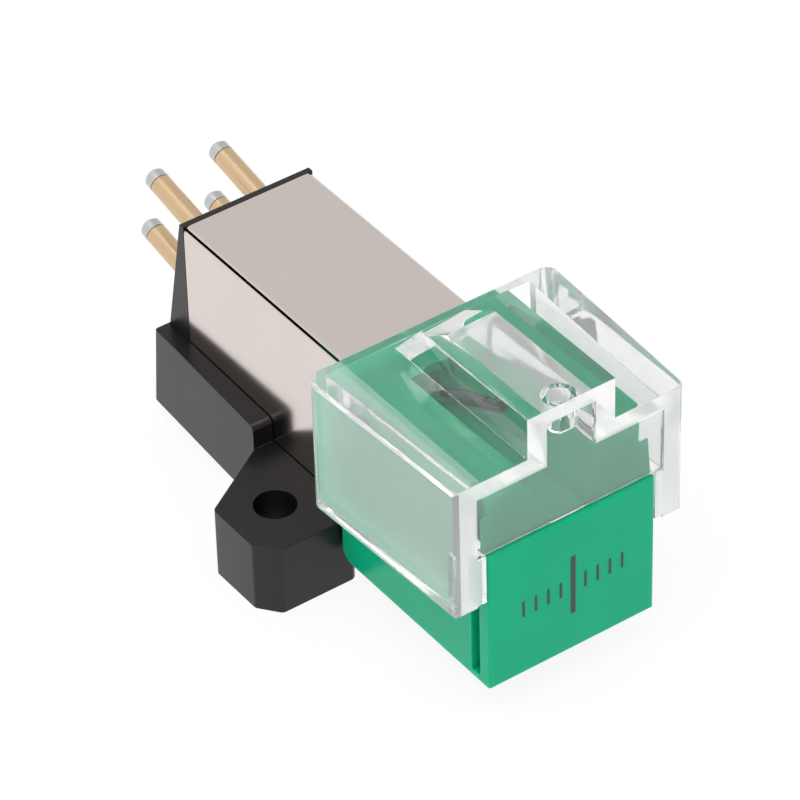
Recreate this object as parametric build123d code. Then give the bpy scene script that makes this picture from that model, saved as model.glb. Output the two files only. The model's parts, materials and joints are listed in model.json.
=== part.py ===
from build123d import *
import os
from math import cos, radians, sin, tan

# Moving-magnet phono cartridge with its stylus guard on, standing on its mounting face, in millimetres.
# Origin midway between the two mounting holes on the mounting face; +Z from the mounting face towards the
# record, -Y towards the front plate, +Y towards the terminal pins.

# Mounting ears and moulded frame
HOLE_SPACING = 12.7
HOLE_DIAMETER = 2.1
EAR_HEIGHT = 3.86
EAR_HALF_SPAN = 8.9
EAR_FRONT_Y = -2.9
EAR_REAR_Y = 1.4
EAR_CHAMFER_X = 0.85
EAR_CHAMFER_Y = 1.1
EAR_CORNER_RADIUS = 0.35
EAR_INNER_RADIUS = 0.4
FRAME_FOOT_GAP = 0.48
FRAME_FOOT_RISE = 0.35
FRAME_WALL_FRONT_Y = 3.9
FRAME_WALL_NOSE_RADIUS = 0.35
FRAME_REAR_Y = 12.75
FRAME_REAR_DRAFT = 0.43
FRAME_HALF_WIDTH_FRONT = 4.88
FRAME_HALF_WIDTH_REAR = 4.55
FRAME_LEDGE_Z = 5.44
FRAME_LEDGE_FALL = 0.25
FRAME_FLOOR_FRONT_Y = 0.5
FRAME_FLOOR_TOP_Z = 2.3
FRAME_EDGE_RADIUS = 0.2

# Folded metal shield
CAN_HALF_WIDTH = 3.74
CAN_TOP_Z = 12.3
CAN_FRONT_Y = -2.3
CAN_REAR_Y = 10.88
CAN_SHEET = 0.35
CAN_BEND_RADIUS = 0.42
CAN_SEAM_GAP = 0.12
SLIP_FIT = 0.03

# Terminal block with the coil shelf, and the pins
REAR_LEAN = 11.5
TERMINAL_TOP_THICKNESS = 0.32
TERMINAL_PLUG_THICKNESS = 3.0
SHELF_TOP_Z = 5.9
SHELF_FRONT_Y = 0.6
PIN_DIAMETER = 1.1
PIN_TAIL_DIAMETER = 0.7
PIN_BORE = 0.4
PIN_REACH = 4.25
PIN_INNER_REACH = 0.45
PIN_PITCH_X = 3.7
PIN_PITCH_HEIGHT = 3.5
PIN_DROP = 3.68
PIN_COLLAR_DIAMETER = 1.5
PIN_COLLAR_HEIGHT = 0.25
SOLDER_BAND = 0.45
SOLDER_DOME_HEIGHT = 0.32
SOLDER_DEPTH = 0.5

# Pole cores, bobbins and windings
CORE_OFFSET_X = 1.8
CORE_THICKNESS = 0.7
CORE_BAR = 0.7
CORE_SLOT_DEPTH = 0.3
CORE_YOKE_Y = 6.65
CORE_DROP = 2.4
CORE_TIP_FRONT_Y = 0.8
CORE_TIP_LENGTH = 2.0
CORE_TIP_GAP = 1.0
CORE_TIP_BELOW_PIVOT = 1.5
BOBBIN_DIAMETER = 3.0
BOBBIN_FLANGE = 0.35
BOBBIN_BARREL = 1.4
WINDING_DIAMETER = 2.7
ASSEMBLY_GAP = 0.02

# Moulded stylus holder
HOLDER_HALF_WIDTH = 4.69
HOLDER_FRONT_Y = -14.65
HOLDER_BOTTOM_Z = 1.83
HOLDER_RUN_GAP = 0.1
HOLDER_EAR_GAP = 0.15
HOLDER_TOP_RISE = 0.15
HOLDER_FOOT_RADIUS = 0.7
HOLDER_WALL = 1.1
HOLDER_ROOF_Z = 7.4
HOLDER_EDGE_RADIUS = 0.22
PLATE_THICKNESS = 0.8
PLATE_TOP_Z = 9.72
PLATE_LEDGE = 0.52
BROW_SET_BACK = 0.74
BROW_DROP = 0.75
TOP_SET_BACK = 1.2
TROUGH_FLOOR_HALF_WIDTH = 0.9
TROUGH_TOP_HALF_WIDTH = 2.3
TROUGH_REAR_Y = -5.4
GROOVE_WIDTH = 0.65
GROOVE_DEPTH = 0.45
GROOVE_FOOT = 0.32
TONGUE_HALF_WIDTH = 3.2
TONGUE_BOTTOM_Z = 7.0
TONGUE_TOP_GAP = 0.2
TONGUE_REAR_Y = 0.3

# Suspension and cantilever, measured along the tilted cantilever from its pivot
PIVOT_Y = -2.4
PIVOT_DROP = 2.4
CANTILEVER_TILT = 20.7
CANTILEVER_DIAMETER = 0.55
CANTILEVER_BORE = 0.3
CANTILEVER_REACH = 8.75
CANTILEVER_TAIL = 3.3
CANTILEVER_FLAT_LENGTH = 1.3
SLEEVE_DIAMETER = 2.6
SLEEVE_BORE = 2.2
SLEEVE_REACH = 1.6
SLEEVE_TAIL = 7.0
EXIT_BORE = 1.5
COLLAR_DIAMETER = 1.0
COLLAR_LENGTH = 0.8
COLLAR_PLAY = 0.03
DAMPER_LENGTH = 0.9
MAGNET_LENGTH = 1.8
MAGNET_WIDTH = 0.45
MAGNET_HEIGHT = 0.5
CARRIER_WEB = 0.4
CARRIER_BOSS_DIAMETER = 0.9
CARRIER_BOSS_LENGTH = 0.7
WIRE_DIAMETER = 0.15
WIRE_FREE_LENGTH = 0.8
ANCHOR_LENGTH = 0.9
SHANK_DIAMETER = 0.3
SHANK_SET_BACK = 0.5
SHANK_BELOW = 0.2
SHANK_ABOVE = 0.5
TIP_HEIGHT = 0.4
TIP_POINT_RADIUS = 0.02

# Clear stylus guard
GUARD_HALF_WIDTH_FRONT = 6.36
GUARD_HALF_WIDTH_REAR = 6.88
GUARD_FRONT_Y = -14.53
GUARD_REAR_Y = -3.8
GUARD_BOTTOM_Z = 6.86
GUARD_RISE = 1.92
GUARD_LEG = 1.15
GUARD_TOP = 0.95
GUARD_FRONT_CORNER_RADIUS = 0.35
GUARD_REAR_CORNER_RADIUS = 0.6
GUARD_FRONT_FOOT_RADIUS = 0.25
GUARD_REAR_FOOT_RADIUS = 0.55
TUNNEL_HALF_WIDTH = 2.44
TUNNEL_RISE = 2.27
TUNNEL_WALL = 1.1
TUNNEL_ROOF = 0.8
TUNNEL_REAR_TOP_Y = -6.6
TUNNEL_REAR_FOOT_Y = -4.6
TUNNEL_REAR_WALL = 1.2
PANEL_RECESS = 0.1
PANEL_THICKNESS = 0.25
LUG_PLAY = 0.05
GATE_DIAMETER = 1.6
GATE_BORE = 1.1
GATE_LENGTH = 1.1
GATE_SET_BACK = 1.0
GATE_BREAK_ANGLE = 20.0

# Worked-out places
CAN_BOTTOM_Z = FRAME_FLOOR_TOP_Z
CAN_INNER_HALF_WIDTH = CAN_HALF_WIDTH - CAN_SHEET
CAN_INNER_TOP_Z = CAN_TOP_Z - CAN_SHEET
CAN_INNER_BOTTOM_Z = CAN_BOTTOM_Z + CAN_SHEET
CHANNEL_HALF_WIDTH = CAN_HALF_WIDTH + SLIP_FIT
LEAN_SLOPE = tan(radians(REAR_LEAN))
TERMINAL_FLANGE_Y = CAN_REAR_Y + ASSEMBLY_GAP
TERMINAL_TOP_Y = TERMINAL_FLANGE_Y + TERMINAL_TOP_THICKNESS
PIN_MIDDLE_Z = CAN_TOP_Z - PIN_DROP
HOLDER_REAR_Y = CAN_FRONT_Y - HOLDER_RUN_GAP
HOLDER_LOWER_REAR_Y = EAR_FRONT_Y - HOLDER_EAR_GAP
HOLDER_STEP_Z = EAR_HEIGHT + HOLDER_EAR_GAP
HOLDER_TOP_Z = CAN_TOP_Z + HOLDER_TOP_RISE
BROW_Z = CAN_TOP_Z - BROW_DROP
PIVOT_Z = CAN_TOP_Z - PIVOT_DROP
GROOVE_FRONT_Y = HOLDER_FRONT_Y + PLATE_THICKNESS
GUARD_SHOULDER_Z = CAN_TOP_Z + GUARD_RISE
GUARD_UNDERSIDE_Z = GUARD_SHOULDER_Z - GUARD_TOP
TUNNEL_TOP_Z = GUARD_SHOULDER_Z + TUNNEL_RISE
PANEL_BOTTOM_Z = PLATE_TOP_Z + LUG_PLAY
CORE_UPPER_Z = CAN_TOP_Z - CORE_DROP
CORE_TIP_MIDDLE_Z = PIVOT_Z - CORE_TIP_BELOW_PIVOT
CORE_LOWER_Z = SHELF_TOP_Z - CORE_SLOT_DEPTH
CORE_UPPER_TIP_Z = CORE_TIP_MIDDLE_Z + CORE_TIP_GAP / 2
CORE_LOWER_TIP_Z = CORE_TIP_MIDDLE_Z - CORE_TIP_GAP / 2
SIDES = (("left", -1), ("right", 1))

# Cantilever frame: Z runs along the cantilever towards the tip, X stays across the cartridge
CANTILEVER_AXIS = (0, -cos(radians(CANTILEVER_TILT)), sin(radians(CANTILEVER_TILT)))
CANTILEVER = Plane(origin=(0, PIVOT_Y, PIVOT_Z), x_dir=(1, 0, 0), z_dir=CANTILEVER_AXIS)


def rear_face_y(z):
    """Y of the leaning rear face at height z."""
    return TERMINAL_TOP_Y + (CAN_TOP_Z - z) * LEAN_SLOPE


def block(x0, x1, y0, y1, z0, z1):
    """Box between two corners."""
    return Pos((x0 + x1) / 2, (y0 + y1) / 2, (z0 + z1) / 2) * Box(x1 - x0, y1 - y0, z1 - z0)


def plan_prism(points, z0, z1):
    """Prism of an outline in plan, from z0 up to z1."""
    return Pos(0, 0, z0) * extrude(make_face(Polyline(*points, close=True)), amount=z1 - z0)


def side_prism(points, x0, x1):
    """Prism of an outline given as (y, z), from x0 across to x1."""
    outline = Plane.YZ * make_face(Polyline(*points, close=True))
    return Pos(x0, 0, 0) * extrude(outline, amount=x1 - x0)


def along_cantilever(diameter, start, end, bore=0.0):
    """Round bar or tube on the cantilever's axis, between two distances from the pivot."""
    bar = Pos(0, 0, (start + end) / 2) * Cylinder(diameter / 2, end - start)
    if bore > 0:
        bar -= Pos(0, 0, (start + end) / 2) * Cylinder(bore / 2, end - start)
    return CANTILEVER * bar


def vertical_edges(shape):
    return shape.edges().filter_by(Axis.Z)


def make_mount_frame():
    """Moulded saddle: two drilled ears, a floor, side walls with a ledge and a rear wall round the shield."""
    frame = None
    for _, side in SIDES:
        ear_outline = [
            (side * CHANNEL_HALF_WIDTH, EAR_FRONT_Y),
            (side * (EAR_HALF_SPAN - EAR_CHAMFER_X), EAR_FRONT_Y),
            (side * EAR_HALF_SPAN, EAR_FRONT_Y + EAR_CHAMFER_Y),
            (side * EAR_HALF_SPAN, EAR_REAR_Y),
            (side * FRAME_HALF_WIDTH_FRONT, FRAME_WALL_FRONT_Y),
            (side * CHANNEL_HALF_WIDTH, FRAME_WALL_FRONT_Y),
        ]
        ear = plan_prism(ear_outline, 0, EAR_HEIGHT)
        outer_corners = [edge for edge in vertical_edges(ear)
                         if abs(edge.center().X) > FRAME_HALF_WIDTH_FRONT + EAR_CORNER_RADIUS]
        ear = fillet(outer_corners, EAR_CORNER_RADIUS)
        inner_corner = [edge for edge in vertical_edges(ear)
                        if edge.center().Y < EAR_REAR_Y and abs(edge.center().X) < FRAME_HALF_WIDTH_FRONT]
        ear = fillet(inner_corner, EAR_INNER_RADIUS)
        ear -= Pos(side * HOLE_SPACING / 2, 0, EAR_HEIGHT / 2) * Cylinder(HOLE_DIAMETER / 2, 2 * EAR_HEIGHT)
        frame = ear if frame is None else frame + ear
    rear_foot_y = FRAME_REAR_Y + FRAME_REAR_DRAFT
    tray = plan_prism(
        [
            (-FRAME_HALF_WIDTH_FRONT, FRAME_WALL_FRONT_Y),
            (FRAME_HALF_WIDTH_FRONT, FRAME_WALL_FRONT_Y),
            (FRAME_HALF_WIDTH_REAR, rear_foot_y),
            (-FRAME_HALF_WIDTH_REAR, rear_foot_y),
        ],
        FRAME_FOOT_GAP, FRAME_LEDGE_Z)
    tray &= side_prism(
        [
            (FRAME_WALL_FRONT_Y, FRAME_FOOT_GAP),
            (rear_foot_y, FRAME_FOOT_GAP + FRAME_FOOT_RISE),
            (FRAME_REAR_Y, FRAME_LEDGE_Z),
            (CAN_REAR_Y, FRAME_LEDGE_Z),
            (FRAME_WALL_FRONT_Y, FRAME_LEDGE_Z - FRAME_LEDGE_FALL),
        ],
        -FRAME_HALF_WIDTH_FRONT, FRAME_HALF_WIDTH_FRONT)
    rear_face = tray.faces().sort_by(Axis.Y)[-1]
    rear_corners = [edge for edge in rear_face.edges() if abs(edge.center().X) > CAN_HALF_WIDTH]
    tray = fillet(rear_corners, FRAME_EDGE_RADIUS)
    front_face = tray.faces().sort_by(Axis.Y)[0]
    tray = fillet(front_face.edges().filter_by(Axis.X).sort_by(Axis.Z)[-1:], FRAME_WALL_NOSE_RADIUS)
    floor = block(-FRAME_HALF_WIDTH_FRONT, FRAME_HALF_WIDTH_FRONT, FRAME_FLOOR_FRONT_Y, FRAME_WALL_FRONT_Y,
                  FRAME_FOOT_GAP, FRAME_FLOOR_TOP_Z)
    channel = block(-CHANNEL_HALF_WIDTH, CHANNEL_HALF_WIDTH, EAR_FRONT_Y, CAN_REAR_Y + SLIP_FIT,
                    FRAME_FLOOR_TOP_Z, CAN_TOP_Z)
    return frame + tray + floor - channel


def make_shield_can():
    """Sheet folded into a square tube; its edges meet in an open seam along the upper left corner."""
    width = 2 * CAN_HALF_WIDTH
    height = CAN_TOP_Z - CAN_BOTTOM_Z
    length = CAN_REAR_Y - CAN_FRONT_Y
    outer = RectangleRounded(width, height, CAN_BEND_RADIUS)
    inner = RectangleRounded(width - 2 * CAN_SHEET, height - 2 * CAN_SHEET, CAN_BEND_RADIUS - CAN_SHEET)
    seam_corner = Pos(-width / 2 + CAN_SHEET / 2, height / 2 - CAN_SHEET / 2)
    seam = seam_corner * Rot(0, 0, -45) * Rectangle(4 * CAN_SHEET, CAN_SEAM_GAP)
    section = Plane.XZ * (outer - inner - seam)
    return Pos(0, CAN_REAR_Y, (CAN_TOP_Z + CAN_BOTTOM_Z) / 2) * extrude(section, amount=length)


def pin_plane(column, row):
    """Plane on the leaning rear face at one pin; its Z runs out along the pin."""
    z = PIN_MIDDLE_Z + row * PIN_PITCH_HEIGHT / 2 * cos(radians(REAR_LEAN))
    out = (0, cos(radians(REAR_LEAN)), sin(radians(REAR_LEAN)))
    return Plane(origin=(column * PIN_PITCH_X / 2, rear_face_y(z), z), x_dir=(1, 0, 0), z_dir=out)


PINS = [(f"{height}_{name}", pin_plane(side, row))
        for height, row in (("upper", 1), ("lower", -1)) for name, side in SIDES]


def make_terminal_block():
    """Moulded rear wedge that plugs the shield, holds the pins and reaches forward as the coil shelf."""
    flange = side_prism(
        [
            (TERMINAL_FLANGE_Y, FRAME_LEDGE_Z + ASSEMBLY_GAP),
            (rear_face_y(FRAME_LEDGE_Z), FRAME_LEDGE_Z + ASSEMBLY_GAP),
            (TERMINAL_TOP_Y, CAN_TOP_Z),
            (TERMINAL_FLANGE_Y, CAN_TOP_Z),
        ],
        -CAN_HALF_WIDTH, CAN_HALF_WIDTH)
    plug_depth = TERMINAL_PLUG_THICKNESS / cos(radians(REAR_LEAN))
    plug_top = CAN_INNER_TOP_Z - SLIP_FIT
    plug_bottom = CAN_INNER_BOTTOM_Z + SLIP_FIT
    plug_half_width = CAN_INNER_HALF_WIDTH - SLIP_FIT
    plug = side_prism(
        [
            (rear_face_y(plug_top) - plug_depth, plug_top),
            (rear_face_y(SHELF_TOP_Z) - plug_depth, SHELF_TOP_Z),
            (SHELF_FRONT_Y, SHELF_TOP_Z),
            (SHELF_FRONT_Y, plug_bottom),
            (CAN_REAR_Y - SLIP_FIT, plug_bottom),
            (CAN_REAR_Y - SLIP_FIT, FRAME_LEDGE_Z + ASSEMBLY_GAP),
            (TERMINAL_FLANGE_Y, FRAME_LEDGE_Z + ASSEMBLY_GAP),
            (TERMINAL_FLANGE_Y, plug_top),
        ],
        -plug_half_width, plug_half_width)
    terminal = flange + plug
    for _, plane in PINS:
        terminal -= plane * Cylinder(PIN_TAIL_DIAMETER / 2 + ASSEMBLY_GAP, 4 * TERMINAL_PLUG_THICKNESS)
    slot_half = CORE_THICKNESS / 2 + ASSEMBLY_GAP
    slot_end_y = CORE_YOKE_Y + CORE_BAR / 2 + ASSEMBLY_GAP
    for _, side in SIDES:
        middle = side * CORE_OFFSET_X
        terminal -= block(middle - slot_half, middle + slot_half, SHELF_FRONT_Y, slot_end_y,
                          SHELF_TOP_Z - CORE_SLOT_DEPTH, SHELF_TOP_Z + CORE_SLOT_DEPTH)
    return terminal


def make_terminal_pin(plane):
    """Hollow plated pin: thinner tail through the block, collar against it, round pin for a lead clip."""
    tail_end = -TERMINAL_PLUG_THICKNESS - PIN_INNER_REACH
    collar_top = ASSEMBLY_GAP + PIN_COLLAR_HEIGHT
    pin = Pos(0, 0, (ASSEMBLY_GAP + collar_top) / 2) * Cylinder(PIN_COLLAR_DIAMETER / 2, PIN_COLLAR_HEIGHT)
    pin += Pos(0, 0, (tail_end + collar_top) / 2) * Cylinder(PIN_TAIL_DIAMETER / 2, collar_top - tail_end)
    pin += Pos(0, 0, (collar_top + PIN_REACH) / 2) * Cylinder(PIN_DIAMETER / 2, PIN_REACH - collar_top)
    pin -= Pos(0, 0, (tail_end + PIN_REACH) / 2) * Cylinder(PIN_BORE / 2, PIN_REACH - tail_end)
    return plane * pin


def make_solder_tip(plane):
    """Solder that fills the end of a pin and caps it with a short band and a dome."""
    base_radius = PIN_DIAMETER / 2
    dome_radius = (base_radius**2 + SOLDER_DOME_HEIGHT**2) / (2 * SOLDER_DOME_HEIGHT)
    dome = Pos(0, 0, SOLDER_DOME_HEIGHT - dome_radius) * Sphere(dome_radius)
    dome &= Pos(0, 0, dome_radius) * Box(4 * dome_radius, 4 * dome_radius, 2 * dome_radius)
    band = Pos(0, 0, SOLDER_BAND / 2) * Cylinder(base_radius, SOLDER_BAND)
    plug = Pos(0, 0, -SOLDER_DEPTH / 2) * Cylinder(PIN_BORE / 2 - ASSEMBLY_GAP, SOLDER_DEPTH)
    return plane * Pos(0, 0, PIN_REACH) * (Pos(0, 0, SOLDER_BAND) * dome + band + plug)


def make_pole_core(side):
    """Flat pole piece: a yoke through the coil and two prongs whose tips stand one above the other."""
    yoke_front = CORE_YOKE_Y - CORE_BAR / 2
    yoke_rear = CORE_YOKE_Y + CORE_BAR / 2
    tip_rear = CORE_TIP_FRONT_Y + CORE_TIP_LENGTH
    upper_top = CORE_UPPER_Z + CORE_BAR
    lower_top = CORE_LOWER_Z + CORE_BAR
    outline = [
        (yoke_rear, CORE_LOWER_Z), (yoke_rear, upper_top), (CORE_TIP_FRONT_Y, upper_top),
        (CORE_TIP_FRONT_Y, CORE_UPPER_TIP_Z), (tip_rear, CORE_UPPER_TIP_Z), (tip_rear, CORE_UPPER_Z),
        (yoke_front, CORE_UPPER_Z), (yoke_front, lower_top), (tip_rear, lower_top),
        (tip_rear, CORE_LOWER_TIP_Z), (CORE_TIP_FRONT_Y, CORE_LOWER_TIP_Z), (CORE_TIP_FRONT_Y, CORE_LOWER_Z),
    ]
    middle = side * CORE_OFFSET_X
    return side_prism(outline, middle - CORE_THICKNESS / 2, middle + CORE_THICKNESS / 2)


def coil_span():
    """Lowest and highest Z of a bobbin between the two prongs."""
    return CORE_LOWER_Z + CORE_BAR + ASSEMBLY_GAP, CORE_UPPER_Z - ASSEMBLY_GAP


def make_bobbin(side):
    """Flanged bobbin on the yoke."""
    low, high = coil_span()
    barrel = Pos(0, 0, (low + high) / 2) * Cylinder(BOBBIN_BARREL / 2, high - low)
    for z in (low + BOBBIN_FLANGE / 2, high - BOBBIN_FLANGE / 2):
        barrel += Pos(0, 0, z) * Cylinder(BOBBIN_DIAMETER / 2, BOBBIN_FLANGE)
    hole = CORE_BAR + 2 * ASSEMBLY_GAP
    barrel -= Pos(0, 0, (low + high) / 2) * Box(CORE_THICKNESS + 2 * ASSEMBLY_GAP, hole, high - low)
    return Pos(side * CORE_OFFSET_X, CORE_YOKE_Y, 0) * barrel


def make_winding(side):
    """Wire wound between the bobbin's flanges."""
    low, high = coil_span()
    height = high - low - 2 * BOBBIN_FLANGE - 2 * ASSEMBLY_GAP
    ring = Cylinder(WINDING_DIAMETER / 2, height) - Cylinder(BOBBIN_BARREL / 2 + ASSEMBLY_GAP, height)
    return Pos(side * CORE_OFFSET_X, CORE_YOKE_Y, (low + high) / 2) * ring


def make_stylus_holder():
    """Moulded grip: front plate with a steep brow above it, grooved sides, cored underside, trough, tongue."""
    body = side_prism(
        [
            (HOLDER_FRONT_Y, HOLDER_BOTTOM_Z), (HOLDER_FRONT_Y, PLATE_TOP_Z),
            (HOLDER_FRONT_Y + PLATE_LEDGE, PLATE_TOP_Z), (HOLDER_FRONT_Y + BROW_SET_BACK, BROW_Z),
            (HOLDER_FRONT_Y + TOP_SET_BACK, HOLDER_TOP_Z), (HOLDER_REAR_Y, HOLDER_TOP_Z),
            (HOLDER_REAR_Y, HOLDER_STEP_Z), (HOLDER_LOWER_REAR_Y, HOLDER_STEP_Z),
            (HOLDER_LOWER_REAR_Y, HOLDER_BOTTOM_Z),
        ],
        -HOLDER_HALF_WIDTH, HOLDER_HALF_WIDTH)
    cross_edges = body.edges().filter_by(Axis.X)
    foot = [edge for edge in cross_edges
            if edge.center().Z < HOLDER_BOTTOM_Z + HOLDER_EDGE_RADIUS and edge.center().Y > GROOVE_FRONT_Y]
    body = fillet(foot, HOLDER_FOOT_RADIUS)
    front_face = body.faces().sort_by(Axis.Y)[0]
    body = fillet(front_face.edges(), HOLDER_EDGE_RADIUS)
    core_half_width = HOLDER_HALF_WIDTH - HOLDER_WALL
    body -= block(-core_half_width, core_half_width, GROOVE_FRONT_Y + HOLDER_WALL,
                  HOLDER_LOWER_REAR_Y - HOLDER_WALL, HOLDER_BOTTOM_Z, HOLDER_ROOF_Z)
    trough_outline = [
        (-TROUGH_FLOOR_HALF_WIDTH, PIVOT_Z), (TROUGH_FLOOR_HALF_WIDTH, PIVOT_Z),
        (TROUGH_TOP_HALF_WIDTH, HOLDER_TOP_Z), (-TROUGH_TOP_HALF_WIDTH, HOLDER_TOP_Z),
    ]
    trough = Plane.XZ * make_face(Polyline(*trough_outline, close=True))
    body -= Pos(0, TROUGH_REAR_Y, 0) * extrude(trough, amount=TROUGH_REAR_Y - HOLDER_FRONT_Y)
    for _, side in SIDES:
        outer = side * (HOLDER_HALF_WIDTH + GROOVE_DEPTH)
        inner = side * (HOLDER_HALF_WIDTH - GROOVE_DEPTH)
        body -= block(min(outer, inner), max(outer, inner), GROOVE_FRONT_Y, GROOVE_FRONT_Y + GROOVE_WIDTH,
                      HOLDER_BOTTOM_Z + GROOVE_FOOT, HOLDER_TOP_Z)
    body += block(-TONGUE_HALF_WIDTH, TONGUE_HALF_WIDTH, HOLDER_REAR_Y, TONGUE_REAR_Y,
                  TONGUE_BOTTOM_Z, CAN_INNER_TOP_Z - TONGUE_TOP_GAP)
    body -= along_cantilever(SLEEVE_DIAMETER + 2 * ASSEMBLY_GAP, -SLEEVE_TAIL, SLEEVE_REACH)
    body -= along_cantilever(EXIT_BORE, 0, CANTILEVER_REACH)
    return body


def make_sleeve():
    """Thin tube that carries the suspension between the pole tips."""
    return along_cantilever(SLEEVE_DIAMETER, -SLEEVE_TAIL, SLEEVE_REACH, SLEEVE_BORE)


def make_damper():
    """Elastomer ring between the sleeve and the pivot collar."""
    return along_cantilever(SLEEVE_BORE - 2 * ASSEMBLY_GAP, -DAMPER_LENGTH / 2, DAMPER_LENGTH / 2,
                            COLLAR_DIAMETER + 2 * ASSEMBLY_GAP)


def make_pivot_collar():
    """Ring bonded in the damper, round the cantilever."""
    return along_cantilever(COLLAR_DIAMETER, -COLLAR_LENGTH / 2, COLLAR_LENGTH / 2,
                            CANTILEVER_DIAMETER + 2 * COLLAR_PLAY)


def shank_y_z():
    """Where the shank crosses the cantilever's axis."""
    along = CANTILEVER_REACH - SHANK_SET_BACK
    return PIVOT_Y + along * CANTILEVER_AXIS[1], PIVOT_Z + along * CANTILEVER_AXIS[2]


def make_cantilever():
    """Light tube, cut down to a flat tongue at the tip and drilled for the shank."""
    tube = along_cantilever(CANTILEVER_DIAMETER, -CANTILEVER_TAIL, CANTILEVER_REACH)
    tube -= along_cantilever(CANTILEVER_BORE, -CANTILEVER_TAIL, CANTILEVER_REACH - 2 * CANTILEVER_FLAT_LENGTH)
    relief = Box(CANTILEVER_DIAMETER, CANTILEVER_DIAMETER, CANTILEVER_FLAT_LENGTH)
    for turn in (-1, 1):
        offset = turn * (CANTILEVER_DIAMETER / 2 + CANTILEVER_BORE / 2)
        tube -= CANTILEVER * Pos(0, offset, CANTILEVER_REACH - CANTILEVER_FLAT_LENGTH / 2) * relief
    y, z = shank_y_z()
    return tube - Pos(0, y, z) * Cylinder(SHANK_DIAMETER / 2 + ASSEMBLY_GAP / 2, 2 * CANTILEVER_DIAMETER)


def make_tip_shank():
    """Metal shank pressed through the cantilever's flat."""
    y, z = shank_y_z()
    middle_z = z + (SHANK_ABOVE - SHANK_BELOW) / 2
    return Pos(0, y, middle_z) * Cylinder(SHANK_DIAMETER / 2, SHANK_ABOVE + SHANK_BELOW)


def make_stylus_tip():
    """Ground diamond cone on the shank."""
    y, z = shank_y_z()
    return Pos(0, y, z + SHANK_ABOVE + TIP_HEIGHT / 2) * Cone(SHANK_DIAMETER / 2, TIP_POINT_RADIUS, TIP_HEIGHT)


def make_magnet_carrier():
    """Socket on the cantilever's tail with a web between the two magnets."""
    boss_start = -CANTILEVER_TAIL - ASSEMBLY_GAP
    boss = along_cantilever(CARRIER_BOSS_DIAMETER, boss_start, boss_start + CARRIER_BOSS_LENGTH,
                            CANTILEVER_DIAMETER + ASSEMBLY_GAP)
    web_place = CANTILEVER * Pos(0, 0, boss_start - MAGNET_LENGTH / 2)
    web = web_place * Box(CARRIER_WEB, MAGNET_HEIGHT, MAGNET_LENGTH)
    disc_length = ASSEMBLY_GAP + COLLAR_PLAY
    disc = along_cantilever(CARRIER_BOSS_DIAMETER, boss_start - disc_length, boss_start)
    return boss + disc + web


def make_magnet(side):
    """Small bar magnet bonded to one side of the carrier's web."""
    end = -CANTILEVER_TAIL - 2 * ASSEMBLY_GAP - COLLAR_PLAY - ASSEMBLY_GAP
    offset = side * (CARRIER_WEB / 2 + MAGNET_WIDTH / 2)
    length = MAGNET_LENGTH - 2 * ASSEMBLY_GAP - COLLAR_PLAY
    return CANTILEVER * Pos(offset, 0, end - length / 2) * Box(MAGNET_WIDTH, MAGNET_HEIGHT, length)


def wire_start():
    """Distance along the axis of the rear end of the magnet carrier."""
    return -CANTILEVER_TAIL - ASSEMBLY_GAP - MAGNET_LENGTH


def make_wire_anchor():
    """Plug in the sleeve's tail that grips the tie wire."""
    front = wire_start() - WIRE_FREE_LENGTH
    return along_cantilever(SLEEVE_BORE - 2 * ASSEMBLY_GAP, front - ANCHOR_LENGTH, front,
                            WIRE_DIAMETER + 2 * ASSEMBLY_GAP)


def make_tie_wire():
    """Fine wire that holds the cantilever against its damper."""
    front = wire_start()
    return along_cantilever(WIRE_DIAMETER, front - WIRE_FREE_LENGTH - ANCHOR_LENGTH, front - ASSEMBLY_GAP)


def guard_plan(inset):
    """Plan of the guard, wider at the rear, with its sides moved in by the inset."""
    front = GUARD_HALF_WIDTH_FRONT - inset
    rear = GUARD_HALF_WIDTH_REAR - inset
    return [(-front, GUARD_FRONT_Y), (front, GUARD_FRONT_Y), (rear, GUARD_REAR_Y), (-rear, GUARD_REAR_Y)]


def tunnel_outline(top_z, low_z, rear_wall):
    """Side view of the tunnel, or of its hollow: level roof and a slanted rear end."""
    slope = (TUNNEL_REAR_FOOT_Y - TUNNEL_REAR_TOP_Y) / TUNNEL_RISE
    top_rear_y = TUNNEL_REAR_TOP_Y + (TUNNEL_TOP_Z - top_z) * slope - rear_wall
    low_rear_y = TUNNEL_REAR_TOP_Y + (TUNNEL_TOP_Z - low_z) * slope - rear_wall
    return [(GUARD_FRONT_Y, low_z), (GUARD_FRONT_Y, top_z), (top_rear_y, top_z), (low_rear_y, low_z)]


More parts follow.
